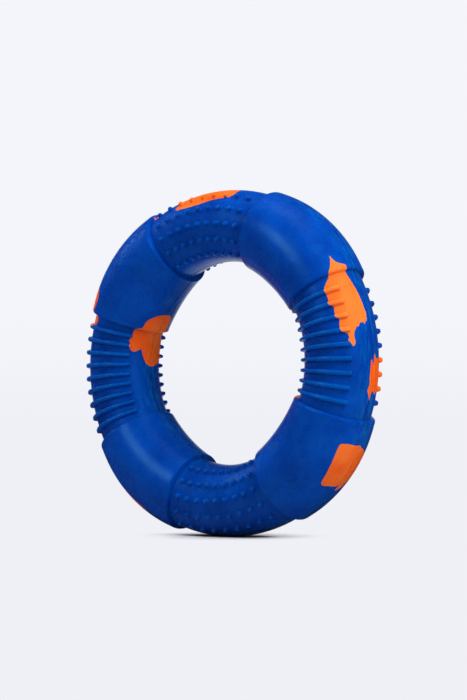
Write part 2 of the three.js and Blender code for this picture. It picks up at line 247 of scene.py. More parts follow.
def moulded_rubber(name, body, deep, bloom_and_highlight, glint, roughness, scuffing):
    """Satin moulded rubber: cloudy pigment, waxy bloom, crowns paled partly by wear and partly as a painted
    highlight, scuffs, dust specks, peel and grain.
    """
    material = bpy.data.materials.new(name)
    add = start_shader(material)
    place = add("ShaderNodeTexCoord").outputs["Object"]

    cloud = add(NOISE, {"Vector": place, "Scale": 1 / CLOUD_SIZE, "Detail": 2.0})
    cloudy = add(RANGE, {"Value": cloud, "From Min": CLOUD_LOW, "From Max": CLOUD_HIGH,
                         "To Min": -CLOUD_SWING, "To Max": CLOUD_SWING})
    # How dark the piece's pigment is; on the orange patches it is partly painted light, light on the lit
    # right patch and dark on the shaded inner left one
    shade = add("ShaderNodeAttribute", attribute_name="shade").outputs["Fac"]
    mixed = add(MATH, [shade, cloudy], operation="ADD", use_clamp=True)
    pigment_with_painted_light = add(MIX, {"Factor": mixed, "A": linear(body), "B": linear(deep)}, data_type="RGBA")

    streak = add(NOISE, {"Vector": place, "Scale": 1 / STREAK_SIZE, "Detail": 5.0,
                         "Roughness": STREAK_FRAY, "Distortion": STREAK_SWIRL})
    film = add(RANGE, {"Value": streak, "From Min": FILM_START, "From Max": FILM_FULL,
                       "To Max": scuffing / 4})
    # Crowns of ribs and nubs paled towards the bloom colour: partly wear where handled, partly a painted
    # highlight on tops that catch the light
    rise = add("ShaderNodeAttribute", attribute_name="rise").outputs["Fac"]
    crown = add(RANGE, {"Value": rise, "From Min": CROWN_FOOT, "From Max": CROWN_TOP,
                        "To Max": CROWN_WEAR_AND_HIGHLIGHT})

    # Fine scuffs that run along the ring, most near the parting line
    spot = add(SEPARATE, [place])
    height = add(MATH, [spot.outputs["Z"], CENTRE_HEIGHT], operation="SUBTRACT")
    outward = add(COMBINE, {"X": spot.outputs["X"], "Z": height})
    way = add(VECTOR_MATH, [outward], operation="NORMALIZE")
    reach = add(VECTOR_MATH, [outward], operation="LENGTH").outputs["Value"]
    sideways = add(COMBINE, {"Y": spot.outputs["Y"]})
    along = add(VECTOR_MATH, [way, (RING_RADIUS / SCUFF_LENGTH,) * 3, sideways], operation="MULTIPLY_ADD")
    scratch = add(NOISE, {"Vector": along, "W": reach, "Scale": 1 / SCUFF_SIZE, "Detail": 3.0},
                  noise_dimensions="4D")
    from_seam = add(MATH, [spot.outputs["Y"]], operation="ABSOLUTE")
    near_seam = add(RANGE, {"Value": from_seam, "From Max": SCUFF_REACH, "To Min": scuffing,
                            "To Max": scuffing / 15})
    scratched = add(RANGE, {"Value": scratch, "From Min": SCRATCH_START, "From Max": SCRATCH_FULL})
    scuff = add(MATH, [scratched, near_seam], operation="MULTIPLY")

    speck = add("ShaderNodeTexVoronoi", {"Vector": place, "Scale": 1 / SPECK_PITCH})
    dust = add(RANGE, {"Value": speck.outputs["Distance"], "From Min": DUST_CORE, "From Max": DUST_EDGE,
                       "To Min": DUST_BLOOM, "To Max": 0.0})
    worn_and_highlit = add(MATH, [film, crown], operation="ADD")
    scuffed_and_highlit = add(MATH, [worn_and_highlit, scuff], operation="ADD")
    paled_and_highlit = add(MATH, [scuffed_and_highlit, dust], operation="ADD", use_clamp=True)
    clean = add(MIX, {"Factor": paled_and_highlit, "A": pigment_with_painted_light.outputs[2], "B": linear(bloom_and_highlight)}, data_type="RGBA")
    grime = add(RANGE, {"Value": from_seam, "From Min": GRIME_CORE, "From Max": GRIME_EDGE,
                        "To Min": GRIME_STRENGTH * scuffing, "To Max": 0.0})
    colour = add(MIX, {"Factor": grime, "A": clean.outputs[2], "B": GRIME_COLOUR},
                 data_type="RGBA", blend_type="MULTIPLY")

    gloss = add(RANGE, {"Value": streak, "From Min": STREAK_LOW, "From Max": STREAK_HIGH,
                        "To Min": roughness - POLISH, "To Max": roughness + DULLING})
    peel = add(NOISE, {"Vector": place, "Scale": 1 / PEEL_SIZE, "Detail": 2.0})
    peeled = add("ShaderNodeBump", {"Height": peel, "Strength": PEEL_STRENGTH, "Distance": PEEL_DEPTH})
    grain = add(NOISE, {"Vector": place, "Scale": 1 / GRAIN_SIZE, "Detail": 2.0})
    grained = add("ShaderNodeBump", {"Height": grain, "Strength": GRAIN_STRENGTH,
                                     "Distance": GRAIN_DEPTH, "Normal": peeled})
    surface = add(PRINCIPLED, {"Base Color": colour.outputs[2], "Roughness": gloss, "Normal": grained,
                               "IOR": RUBBER_IOR, "Specular Tint": linear(glint)})
    add("ShaderNodeOutputMaterial", {"Surface": surface})
    return material


blue_rubber = moulded_rubber("blue_moulded_rubber", 0x0043A8, 0x00308C, 0x0074A8, 0x6CD0FF, 0.27, 0.45)
orange_rubber = moulded_rubber("orange_moulded_rubber", 0xEE7228, 0xE65200, 0xFF9A4A, 0xFFE8D0, 0.34, 0.15)
print("materials:", blue_rubber.name, orange_rubber.name)

# %% [markdown]
# ## The skin of one half
#
# The tube's shape follows a rule: a ring, a section, and a radius that depends on the angle to the
# nearest collar. It could be spun and then sculpted, but then no size could be changed. Here a
# flat grid is rolled up by formulas. Its X runs round the ring and its Y runs round the closed
# section of one half: out over the skin and back through the hollow. Stations crowd together at
# the lips and at the parting line, because that is where the surface turns fast.

# %% Skin tree
RING_STEPS = 320
SECTION_STEPS = 120
SKIN_SHARE = 0.75
FIRST_INSIDE = SKIN_SHARE + 1 / SECTION_STEPS
LAST_INSIDE = 1 - 1 / SECTION_STEPS
MIDDLE_INSIDE = (FIRST_INSIDE + LAST_INSIDE) / 2
REACH_INSIDE = (LAST_INSIDE - FIRST_INSIDE + 1 / SECTION_STEPS) / 2
LIP_CROWDING = 0.86
RIM_CROWDING = 0.86
WAVE_SCALE = 3.0

SHARED_INPUTS = {
    "Ring Radius": RING_RADIUS, "Tube Radius": TUBE_RADIUS, "Turn": RING_TURN,
    "Centre Height": CENTRE_HEIGHT, "Material": blue_rubber,
}
SKIN_INPUTS = SHARED_INPUTS | {
    "Ring Steps": RING_STEPS, "Section Steps": SECTION_STEPS, "Core Radius": CORE_RADIUS,
    "Collar Radius": COLLAR_RADIUS, "Shoulder Radius": COLLAR_SHOULDER_RADIUS,
    "Collar Half Angle": COLLAR_HALF_ANGLE, "Lip Angle": LIP_ANGLE,
    "Groove Depth": GROOVE_DEPTH, "Groove Angle": GROOVE_ANGLE, "Wave Depth": WAVE_DEPTH,
}


def crowd(add, part, crowding):
    """Even steps from 0 to 1, crowded together towards both ends."""
    turned = add(MATH, [part, TAU], operation="MULTIPLY")
    wave = add(MATH, [turned], operation="SINE")
    return add(MATH, [wave, -crowding / TAU, part], operation="MULTIPLY_ADD")


def unit_step(add, degrees):
    """Cosine and sine of an angle in degrees."""
    angle = add(MATH, [degrees], operation="RADIANS")
    return [add(MATH, [angle], operation=part) for part in ("COSINE", "SINE")]


def skin_tree():
    tree, add, size = start_tree("ring_skin", SKIN_INPUTS)
    columns = add(MATH, [size["Ring Steps"], 1.0], operation="ADD")
    rows = add(MATH, [size["Section Steps"], 1.0], operation="ADD")
    grid = add("GeometryNodeMeshGrid", {"Size X": 1.0, "Size Y": 1.0, "Vertices X": columns,
                                        "Vertices Y": rows})
    flat = add(SEPARATE, [add("GeometryNodeInputPosition")])

    # Angle round the ring: collars and the stretches between them take turns
    spans = add(MATH, [flat.outputs["X"], 2 * COLLARS, COLLARS], operation="MULTIPLY_ADD")
    span = add(MATH, [spans], operation="FLOOR")
    part = crowd(add, add(MATH, [spans], operation="FRACT"), LIP_CROWDING)
    between = add(MATH, [span, 2.0], operation="MODULO")
    half = size["Collar Half Angle"]
    collar_start = add(MATH, [COLLAR_PITCH / 2, half], operation="SUBTRACT")
    collar_end = add(MATH, [COLLAR_PITCH / 2, half], operation="ADD")
    collar_width = add(MATH, [half, 2.0], operation="MULTIPLY")
    gap_width = add(MATH, [COLLAR_PITCH, collar_width], operation="SUBTRACT")
    start = add(RANGE, {"Value": between, "To Min": collar_start, "To Max": collar_end})
    width = add(RANGE, {"Value": between, "To Min": collar_width, "To Max": gap_width})
    pair = add(MATH, [span, between], operation="SUBTRACT")
    base = add(MATH, [pair, COLLAR_PITCH / 2, start], operation="MULTIPLY_ADD")
    around = add(MATH, [part, width, base], operation="MULTIPLY_ADD")

    # Radius of the skin: plain tube, then a rounded lip, then a crowned collar
    phase = add(MATH, [around, COLLAR_PITCH], operation="MODULO")
    offset = add(MATH, [phase, COLLAR_PITCH / 2], operation="SUBTRACT")
    away = add(MATH, [offset], operation="ABSOLUTE")
    crown = add(MATH, [half, size["Lip Angle"]], operation="SUBTRACT")
    fall = add(RANGE, {"Value": away, "From Min": half, "From Max": crown, "To Min": 1.0, "To Max": 0.0})
    drop_off = add(MATH, [fall, 2 / LIP_BLUNTNESS], operation="POWER")
    left_over = add(MATH, [1.0, drop_off], operation="SUBTRACT")
    lip = add(MATH, [left_over, LIP_BLUNTNESS / 2], operation="POWER")
    outer = add(RANGE, {"Value": away, "From Max": crown})
    bowed = add(MATH, [outer, 2.0], operation="POWER")
    collar = add(RANGE, {"Value": bowed, "To Min": size["Collar Radius"],
                         "To Max": size["Shoulder Radius"]})
    plain = add(RANGE, {"Value": lip, "To Min": size["Tube Radius"], "To Max": collar})

    # Angle round the tube: out over the skin, then back through the hollow
    share = add(MATH, [flat.outputs["Y"], 0.5], operation="ADD")
    out = add(RANGE, {"Value": share, "From Max": SKIN_SHARE})
    back = add(RANGE, {"Value": share, "From Min": FIRST_INSIDE, "From Max": LAST_INSIDE})
    swing = add(MATH, [crowd(add, out, RIM_CROWDING), back], operation="SUBTRACT")
    over = add(MATH, [swing, math.pi], operation="MULTIPLY")
    inside = add(MATH, [share, MIDDLE_INSIDE, REACH_INSIDE], operation="COMPARE")

    # The groove of the parting line: each half's edge is rounded off
    over_degrees = add(MATH, [swing, FULL_TURN / 2], operation="MULTIPLY")
    from_rim = add(MATH, [over_degrees, FULL_TURN / 4], operation="PINGPONG")
    near_rim = add(RANGE, {"Value": from_rim, "From Max": size["Groove Angle"], "To Min": 1.0,
                           "To Max": 0.0})
    round_off = add(MATH, [add(MATH, [near_rim], operation="ARCCOSINE")], operation="SINE")
    drop = add(RANGE, {"Value": round_off, "To Min": size["Groove Depth"], "To Max": 0.0})

    # Slow waves of a hand-finished mould, only ever inwards
    turn = add(MATH, [around, size["Turn"]], operation="ADD")
    east, north = unit_step(add, turn)
    map_point = add(COMBINE, {"X": east, "Y": swing, "Z": north})
    waves = add(NOISE, {"Vector": map_point, "Scale": WAVE_SCALE, "Detail": 2.0})
    dip = add(MATH, [waves, size["Wave Depth"], drop], operation="MULTIPLY_ADD")
    skin = add(MATH, [plain, dip], operation="SUBTRACT")
    radius = add(RANGE, {"Value": inside, "To Min": skin, "To Max": size["Core Radius"]})

    # Roll the flat point up round the tube and the ring, and flatten it where it meets the floor
    across = add(MATH, [over], operation="COSINE")
    deep = add(MATH, [over], operation="SINE")
    reach = add(MATH, [radius, across, size["Ring Radius"]], operation="MULTIPLY_ADD")
    forward = add(MATH, [radius, deep], operation="MULTIPLY")
    x = add(MATH, [reach, east], operation="MULTIPLY")
    y = add(MATH, [0.0, forward], operation="SUBTRACT")
    z = add(MATH, [reach, north, size["Centre Height"]], operation="MULTIPLY_ADD")
    grounded = add(MATH, [z, 0.0], operation="MAXIMUM")
    rolled = add(COMBINE, {"X": x, "Y": y, "Z": grounded})
    placed = add("GeometryNodeSetPosition", {"Geometry": grid, "Position": rolled})
    sewn = add("GeometryNodeMergeByDistance", {"Geometry": placed, "Distance": WELD_DISTANCE})
    end_tree(add, sewn, size["Material"])
    return tree


skin = grow("skin", skin_tree(), SKIN_INPUTS)
measure(skin)

# %% [markdown]
# ## Ribs
#
# Nine ribs lie across each face of the two ribbed stretches. Each is a low round-topped bar that
# starts past the outer rim and ends past the middle of the inner side, and both its ends round
# down into the skin. A rib could be a curve with a bevel, but its width and height change in
# different ways, so it is a grid rolled up by formulas again. Its foot spreads a little, which is
# the fillet of the mould. The ribs fan out less than the ring turns, and the tree does that too.

# %% Rib tree
RIBBED_STRETCHES = 2
RIB_INPUTS = SHARED_INPUTS | {
    "Ribs": 9, "Pitch": 4.93, "Fan": 0.905, "Start Angle": 37.2, "End Angle": 141.1,
    "Tip Angle": 4.6, "Outer Width": 2.15 * MM, "Inner Width": 1.55 * MM, "Height": 1.6 * MM,
    "Root Depth": 0.6 * MM, "Foot Spread": 0.25 * MM, "Bluntness": 0.66,
}
RIB_LENGTH_STEPS = 34
RIB_ROUND_STEPS = 20
TIP_CROWDING = 0.7
FOOT_SHARPNESS = 5.0


def blunt(add, wave, bluntness):
    """A sine or cosine that stays near its ends, so that a circle made of them is squarer."""
    size = add(MATH, [wave], operation="ABSOLUTE")
    way = add(MATH, [wave], operation="SIGN")
    squarer = add(MATH, [size, bluntness], operation="POWER")
    return add(MATH, [squarer, way], operation="MULTIPLY")


def rib_tree():
    tree, add, size = start_tree("ribs", RIB_INPUTS)
    grid = add("GeometryNodeMeshGrid", {"Size X": 1.0, "Size Y": 1.0, "Vertices X": RIB_LENGTH_STEPS + 1,
                                        "Vertices Y": RIB_ROUND_STEPS + 1})
    flat = add(SEPARATE, [add("GeometryNodeInputPosition")])
    share = add(MATH, [flat.outputs["X"], 0.5], operation="ADD")
    part = crowd(add, share, TIP_CROWDING)
    around = add(MATH, [flat.outputs["Y"], TAU], operation="MULTIPLY")

    # How far each end has rounded up out of the skin, from 0 to 1
    over = add(RANGE, {"Value": part, "To Min": size["Start Angle"], "To Max": size["End Angle"]})
    from_start = add(MATH, [over, size["Start Angle"]], operation="SUBTRACT")
    from_end = add(MATH, [size["End Angle"], over], operation="SUBTRACT")
    from_tip = add(MATH, [from_start, from_end], operation="MINIMUM")
    fall = add(RANGE, {"Value": from_tip, "From Max": size["Tip Angle"], "To Min": 1.0, "To Max": 0.0})
    full = add(MATH, [add(MATH, [fall], operation="ARCCOSINE")], operation="SINE")

    # Section: a round crown over the skin, a root under it, and a foot that spreads between them
    side = blunt(add, add(MATH, [around], operation="COSINE"), size["Bluntness"])
    lift = blunt(add, add(MATH, [around], operation="SINE"), size["Bluntness"])
    above = add(MATH, [lift, 0.0], operation="MAXIMUM")
    below = add(MATH, [lift, 0.0], operation="MINIMUM")
    crown = add(MATH, [above, size["Height"]], operation="MULTIPLY")
    rise = add(MATH, [below, size["Root Depth"], crown], operation="MULTIPLY_ADD")
    low = add(MATH, [1.0, above], operation="SUBTRACT")
    flare = add(MATH, [low, FOOT_SHARPNESS], operation="POWER")
    foot = add(MATH, [flare, size["Foot Spread"]], operation="MULTIPLY")
    width = add(RANGE, {"Value": part, "To Min": size["Outer Width"], "To Max": size["Inner Width"]})
    half = add(MATH, [width, 0.5, foot], operation="MULTIPLY_ADD")
    spread = add(MATH, [half, full], operation="MULTIPLY")
    across = add(MATH, [side, spread], operation="MULTIPLY")
    sunk = add(MATH, [fall, size["Root Depth"]], operation="MULTIPLY")
    height = add(MATH, [rise, full], operation="MULTIPLY")
    on_skin = add(MATH, [size["Tube Radius"], height], operation="ADD")
    radius = add(MATH, [on_skin, sunk], operation="SUBTRACT")

    # Bend the bar over the tube, in a frame whose X points away from the ring's centre
    out, deep = unit_step(add, over)
    outward = add(MATH, [radius, out], operation="MULTIPLY")
    forward = add(MATH, [radius, deep], operation="MULTIPLY")
    y = add(MATH, [0.0, forward], operation="SUBTRACT")
    bent = add(COMBINE, {"X": outward, "Y": y, "Z": across})
    bar = add("GeometryNodeSetPosition", {"Geometry": grid, "Position": bent})
    closed = add("GeometryNodeMergeByDistance", {"Geometry": bar, "Distance": WELD_DISTANCE})

    # One point on the tube's middle line for each rib, and the rib's lean there
    count = add(MATH, [size["Ribs"], RIBBED_STRETCHES], operation="MULTIPLY")
    index = add("GeometryNodeInputIndex")
    place = add(MATH, [index, size["Ribs"]], operation="MODULO")
    stretch = add(MATH, [add(MATH, [index, size["Ribs"]], operation="DIVIDE")], operation="FLOOR")
    last = add(MATH, [size["Ribs"], 1.0], operation="SUBTRACT")
    middle = add(MATH, [last, 0.5], operation="MULTIPLY")
    step = add(MATH, [place, middle], operation="SUBTRACT")
    offset = add(MATH, [step, size["Pitch"]], operation="MULTIPLY")
    centre = add(MATH, [stretch, FULL_TURN / RIBBED_STRETCHES, size["Turn"]], operation="MULTIPLY_ADD")
    east, north = unit_step(add, add(MATH, [centre, offset], operation="ADD"))
    fanned = add(MATH, [offset, size["Fan"], centre], operation="MULTIPLY_ADD")
    lean = add(MATH, [fanned], operation="RADIANS")
    x = add(MATH, [size["Ring Radius"], east], operation="MULTIPLY")
    z = add(MATH, [size["Ring Radius"], north, size["Centre Height"]], operation="MULTIPLY_ADD")
    points = add("GeometryNodePoints", {"Count": count, "Position": add(COMBINE, {"X": x, "Z": z})})
    back = add(MATH, [0.0, lean], operation="SUBTRACT")
    turned = add(COMBINE, {"Y": back})
    ribs = add("GeometryNodeInstanceOnPoints", {"Points": points, "Instance": closed, "Rotation": turned})
    end_tree(add, ribs, size["Material"])
    return tree


ribs = grow("ribs", rib_tree(), RIB_INPUTS)
measure(ribs)

# %% [markdown]
# ## Nubs
#
# The two nubby stretches carry five rows of nine small domed pegs on each face. Each peg stands
# square on the skin. It starts as a cylinder, and a float curve gives its outline: a root under
# the skin, a foot that spreads, straight sides and a dome. It keeps to a few dozen faces, because
# it is repeated many times.

# %% Nub tree
NUBBY_STRETCHES = 2
NUB_INPUTS = SHARED_INPUTS | {
    "Columns": 9, "Rows": 5, "Pitch": 5.0, "Row Pitch": 25.2, "Radius": 1.0 * MM,
    "Height": 1.55 * MM, "Root Depth": 0.5 * MM,
}
NUB_SIDES = 9
NUB_RINGS = 6
FACE_ANGLE = FULL_TURN / 4
NUB_OUTLINE = [(0.0, 0.86), (0.22, 0.82), (0.36, 0.65), (0.55, 0.6), (0.8, 0.56), (0.93, 0.42), (1.0, 0.2)]
NUB_WAIST = NUB_OUTLINE[3][1]


def nub_tree():
    tree, add, size = start_tree("nubs", NUB_INPUTS)
    tall = add(MATH, [size["Height"], size["Root Depth"]], operation="ADD")
    peg = add("GeometryNodeMeshCylinder", {"Vertices": NUB_SIDES, "Side Segments": NUB_RINGS,
                                           "Radius": 1.0, "Depth": tall}, fill_type="TRIANGLE_FAN")
    local = add(SEPARATE, [add("GeometryNodeInputPosition")])
    up = add(MATH, [add(MATH, [local.outputs["Z"], tall], operation="DIVIDE"), 0.5], operation="ADD")
    outline = add("ShaderNodeFloatCurve", {"Value": up})
    curve = outline.mapping.curves[0]
    for place, value in NUB_OUTLINE[1:-1]:
        curve.points.new(place, value)
    curve.points[0].location = NUB_OUTLINE[0]
    curve.points[-1].location = NUB_OUTLINE[-1]
    outline.mapping.update()
    girth = add(MATH, [outline, size["Radius"]], operation="MULTIPLY")
    wide = add(MATH, [girth, 1 / NUB_WAIST], operation="MULTIPLY")
    x = add(MATH, [local.outputs["X"], wide], operation="MULTIPLY")
    y = add(MATH, [local.outputs["Y"], wide], operation="MULTIPLY")
    sunk = add(MATH, [tall, 0.5], operation="MULTIPLY")
    lifted = add(MATH, [local.outputs["Z"], sunk], operation="ADD")
    z = add(MATH, [lifted, size["Root Depth"]], operation="SUBTRACT")
    shaped = add(COMBINE, {"X": x, "Y": y, "Z": z})
    domed = add("GeometryNodeSetPosition", {"Geometry": peg, "Position": shaped})

    # Which stretch, column and row each peg belongs to
    per_stretch = add(MATH, [size["Columns"], size["Rows"]], operation="MULTIPLY")
    count = add(MATH, [per_stretch, NUBBY_STRETCHES], operation="MULTIPLY")
    index = add("GeometryNodeInputIndex")
    stretch = add(MATH, [add(MATH, [index, per_stretch], operation="DIVIDE")], operation="FLOOR")
    in_row = add(MATH, [index, size["Columns"]], operation="MODULO")
    rows = add(MATH, [index, size["Columns"]], operation="DIVIDE")
    rows_before = add(MATH, [rows], operation="FLOOR")
    row = add(MATH, [rows_before, size["Rows"]], operation="MODULO")
    half_columns = add(MATH, [size["Columns"], 0.5, -0.5], operation="MULTIPLY_ADD")
    half_rows = add(MATH, [size["Rows"], 0.5, -0.5], operation="MULTIPLY_ADD")
    column_step = add(MATH, [in_row, half_columns], operation="SUBTRACT")
    row_step = add(MATH, [row, half_rows], operation="SUBTRACT")

    # The peg's two angles, its place on the skin and the way it stands
    first = add(MATH, [size["Turn"], COLLAR_PITCH], operation="ADD")
    centre = add(MATH, [stretch, FULL_TURN / NUBBY_STRETCHES, first], operation="MULTIPLY_ADD")
    along = add(MATH, [column_step, size["Pitch"], centre], operation="MULTIPLY_ADD")
    over = add(MATH, [row_step, size["Row Pitch"], FACE_ANGLE], operation="MULTIPLY_ADD")
    east, north = unit_step(add, along)
    across, deep = unit_step(add, over)
    upright = add(COMBINE, {
        "X": add(MATH, [across, east], operation="MULTIPLY"),
        "Y": add(MATH, [0.0, deep], operation="SUBTRACT"),
        "Z": add(MATH, [across, north], operation="MULTIPLY"),
    })
    middle = add(COMBINE, {
        "X": add(MATH, [size["Ring Radius"], east], operation="MULTIPLY"),
        "Z": add(MATH, [size["Ring Radius"], north, size["Centre Height"]], operation="MULTIPLY_ADD"),
    })
    tube = add(COMBINE, {"X": size["Tube Radius"], "Y": size["Tube Radius"], "Z": size["Tube Radius"]})
    foot = add(VECTOR_MATH, [upright, tube, middle], operation="MULTIPLY_ADD")
    points = add("GeometryNodePoints", {"Count": count, "Position": foot})
    stand = add("FunctionNodeAlignRotationToVector", {"Vector": upright}, axis="Z")
    nubs = add("GeometryNodeInstanceOnPoints", {"Points": points, "Instance": domed, "Rotation": stand})
    end_tree(add, nubs, size["Material"])
    return tree


nubs = grow("nubs", nub_tree(), NUB_INPUTS)
measure(nubs)

# %% [markdown]
# ## One moulding
#
# Ribs, nubs and collars are the same rubber as the tube, so all of it becomes one closed body. A
# boolean union does that, and because every foot spreads out, the joints shade like the fillets of
# a mould. The rear half comes out of a mirrored mould. Mirroring turns a mesh inside out, so its
# faces are flipped back.

# %% Two whole halves
def combined(name, body, tool, operation):
    """Plain mesh object of body joined with, cut by or kept inside tool."""
    made = put(name, body.data.copy())
    modifier = made.modifiers.new("combine", "BOOLEAN")
    modifier.operation = operation
    modifier.solver = "MANIFOLD"
    modifier.object = tool
    return settle(name, made)


def discard(*things):
    for thing in things:
        bpy.data.objects.remove(thing)


ribbed = combined("ribbed_skin", skin, ribs, "UNION")
front_whole = combined("front_whole", ribbed, nubs, "UNION")
rear_whole = put("rear_whole", front_whole.data.copy())
rear_whole.data.transform(Matrix.Scale(-1, 4, (0, 1, 0)))
rear_whole.data.flip_normals()
discard(skin, ribs, nubs, ribbed)
measure(front_whole)
measure(rear_whole)

# %% [markdown]
# ## Orange patches
#
# A blob of orange rubber was laid in the mould, and the blue flowed up against it. So a patch is
# flush with the skin, goes a little way down, has an edge as smooth as a drop's in most places and
# a torn one where the two rubbers were pulled along each other. Each outline is a list of angles
# round the ring and round the tube. A smooth curve runs through them, and a seeded wobble keeps
# it from looking drawn. Painting the colour on would be easier, but then nothing would be inlaid.

# %% Outlines of the patches
TORN, SMOOTH = 0.14, 0.08

TOP = [(107.2, 47), (103.7, 53), (99.8, 54.5), (96.1, 54), (91.4, 49), (87.9, 45.5), (83.9, 42),
       (82.6, 33), (82.8, 20), (83.3, 8), (83.5, -6), (84, -20), (87, -34), (93, -41), (101, -38),
       (105.5, -24), (106.2, -6), (104.6, 12), (106, 30)]
UPPER_LEFT = [(151.1, 48), (152.4, 55), (154.2, 60), (157.5, 58), (159.4, 54), (161, 60), (162.6, 64),
              (164.4, 59), (166.1, 46), (166.7, 30), (165.5, 14), (161, 6), (155, 5), (152, 12),
              (150.8, 28)]
UPPER_LEFT_CHIP = [(114.6, 22), (115.2, 30), (116.6, 36.5), (118.3, 36), (119.2, 29), (119.4, 20),
                   (118, 13), (115.6, 14)]
INNER_LEFT = [(147.9, 185.7), (148.9, 167.9), (151.8, 156.6), (155.2, 150.9), (158.6, 149.5),
              (159.8, 142.1), (162.6, 137.9), (164.9, 138.3), (167, 134.8), (168.8, 136.9),
              (170.4, 135.2), (172.5, 141.9), (172.8, 146.8), (172.1, 151.6), (171.2, 157.1),
              (174.8, 161.5), (178, 166.2), (180, 172.4), (180.9, 182.8), (179.8, 194.1),
              (178.2, 208.1), (176.9, 220), (168.9, 214), (162.9, 205), (158.1, 199), (151.5, 197)]
RIGHT = [(35.1, 35), (34.1, 34), (32.6, 31), (31.6, 26), (30.9, 19), (29.4, 18), (27.7, 17), (23.1, 12),
         (19.2, 8), (15, 5), (12.2, 6.2), (12.3, 8.6), (11.2, 12.2), (12.2, 14.6), (11.5, 16.9),
         (12, 19.1), (10.4, 24.4), (10.6, 27.1), (9.3, 30.8), (8.4, 32.8), (7, 33.2), (5.8, 32.3),
         (4.7, 33.9), (4.2, 36.9), (4.6, 39.6), (5.3, 41.6), (6.2, 44), (6.6, 42.2), (7.6, 42.2),
         (8.4, 44.6), (9, 49.6), (9.3, 53.2), (10.9, 54.5), (13.6, 52.7), (14.1, 56.8), (14.8, 58.1),
         (16.6, 57.6), (18.2, 56.9), (19.1, 62.2), (19.9, 63.3), (21.5, 61.8), (25.3, 62), (27.2, 56),
         (28.4, 50), (30.3, 46), (31.8, 41), (33.7, 37)]
RIGHT_RIM = [(-1.2, 4.5), (-0.1, 2.8), (-0.7, -0.6), (-2.1, -3.4), (-0.6, -4.1), (1.9, -5.6),
             (0.8, -8.7), (0.4, -14.2), (0.8, -23.8), (2.1, -33), (0.5, -44), (-3, -43), (-8, -45),
             (-12, -38), (-10.4, -28), (-10.4, -21.9), (-10.6, -17.4), (-11.3, -15.8), (-10.7, -11.3),
             (-10, -7.3), (-10.5, -3.9), (-11.6, -2.3), (-13.2, -1.4), (-12.2, 1.2), (-11.3, 4.1),
             (-9.9, 7.9), (-9, 6.2), (-7.8, 4.7), (-5.6, 5.3), (-3.4, 5.2)]
LOWER_RIGHT_FRONT = [(332.3, 32.1), (332.7, 20.6), (332.6, 9.7), (332.9, 1), (333.1, -4), (325, -5),
                     (319.6, -4), (319.4, 0.5), (318.5, 1.9), (317.7, 5), (317.3, 17.1), (316.8, 25.7),
                     (317.2, 29.6), (318.5, 31.2), (322.4, 32.8), (327.2, 34.5), (331, 35.1),
                     (331.9, 34.2)]
LOWER_RIGHT_REAR = [(332.2, 3), (331.9, -4), (331.7, -7.1), (330.4, -18.3), (328.8, -30), (326.2, -29),
                    (321.7, -22), (318.5, -14), (316.9, -8), (316.3, -4), (316.2, 3), (325, 4)]
LOWER_LEFT = [(222.5, 22), (223.5, 32), (227, 37), (231.5, 40), (236, 40), (239, 37), (240, 26),
              (238.6, 12), (233, 5), (226, 5), (223, 12)]
LOWER_RIGHT_CHIP = [(336.8, 150), (337.6, 143), (339.4, 141.5), (340.6, 142), (341.4, 148),
                    (341.2, 158), (340, 167), (338, 168), (336.8, 160)]
BOTTOM = [(276.9, -8), (278.9, -2), (283.9, -5), (289.9, -3), (292.9, -8), (293.2, -24), (289.9, -40),
          (283.9, -46), (278.9, -40), (276.4, -26)]

# Outline, how torn its edge is, how dark its pigment is (partly painted light and shade), and the CAD nodes
# of its front and rear piece
PATCHES = {
    "orange_top": (TOP, SMOOTH, 0.5, "top_patch_front", "top_patch_rear"),
    "orange_upper_left": (UPPER_LEFT, SMOOTH, 0.5, "upper_left_patch", None),
    "orange_upper_left_small": (UPPER_LEFT_CHIP, SMOOTH, 0.5, "upper_left_chip", None),
    "orange_inner_left": (INNER_LEFT, TORN, 0.8, "inner_left_patch_front", "inner_left_patch_rear"),
    "orange_right": (RIGHT, TORN, 0.1, "right_patch", None),
    "orange_right_rim": (RIGHT_RIM, TORN, 0.8, "right_rim_patch_front", "right_rim_patch_rear"),
    "orange_lower_right": (LOWER_RIGHT_FRONT, SMOOTH, 0.55, "lower_right_patch_front", None),
    "orange_lower_right_behind": (LOWER_RIGHT_REAR, SMOOTH, 0.55, None, "lower_right_patch_rear"),
    "orange_lower_left": (LOWER_LEFT, SMOOTH, 0.6, "lower_left_patch", None),
    "orange_lower_right_small": (LOWER_RIGHT_CHIP, SMOOTH, 0.6, "lower_right_chip", None),
    "orange_bottom": (BOTTOM, SMOOTH, 0.6, None, "bottom_patch"),
}
BLUE_SHADE = 0.5
print("patches:", len(PATCHES))

# %% Blocks that cut the patches
PATCH_DEPTH = 1.5 * MM
PATCH_REACH = 4 * MM
EDGE_STEP = 0.4 * MM
INNER_STEP = 2.5 * MM
CURVE_STEPS = 8
FEWEST_STEPS = 12
MEETING_DISTANCE = 1e-7
WOBBLES = 7
WOBBLE_SPREAD = 1.6
WOBBLE_FALL = 0.7


def plain_radius(angle):
    """Radius of the skin without ribs and nubs, at an angle in degrees round the ring."""
    away = np.abs((np.asarray(angle) - RING_TURN) % COLLAR_PITCH - COLLAR_PITCH / 2)
    crown = COLLAR_HALF_ANGLE - LIP_ANGLE
    fall = np.clip((away - crown) / LIP_ANGLE, 0, 1)
    collar = COLLAR_RADIUS + (COLLAR_SHOULDER_RADIUS - COLLAR_RADIUS) * np.clip(away / crown, 0, 1) ** 2
    lip = (1 - fall ** (2 / LIP_BLUNTNESS)) ** (LIP_BLUNTNESS / 2)
    return TUBE_RADIUS + (collar - TUBE_RADIUS) * lip


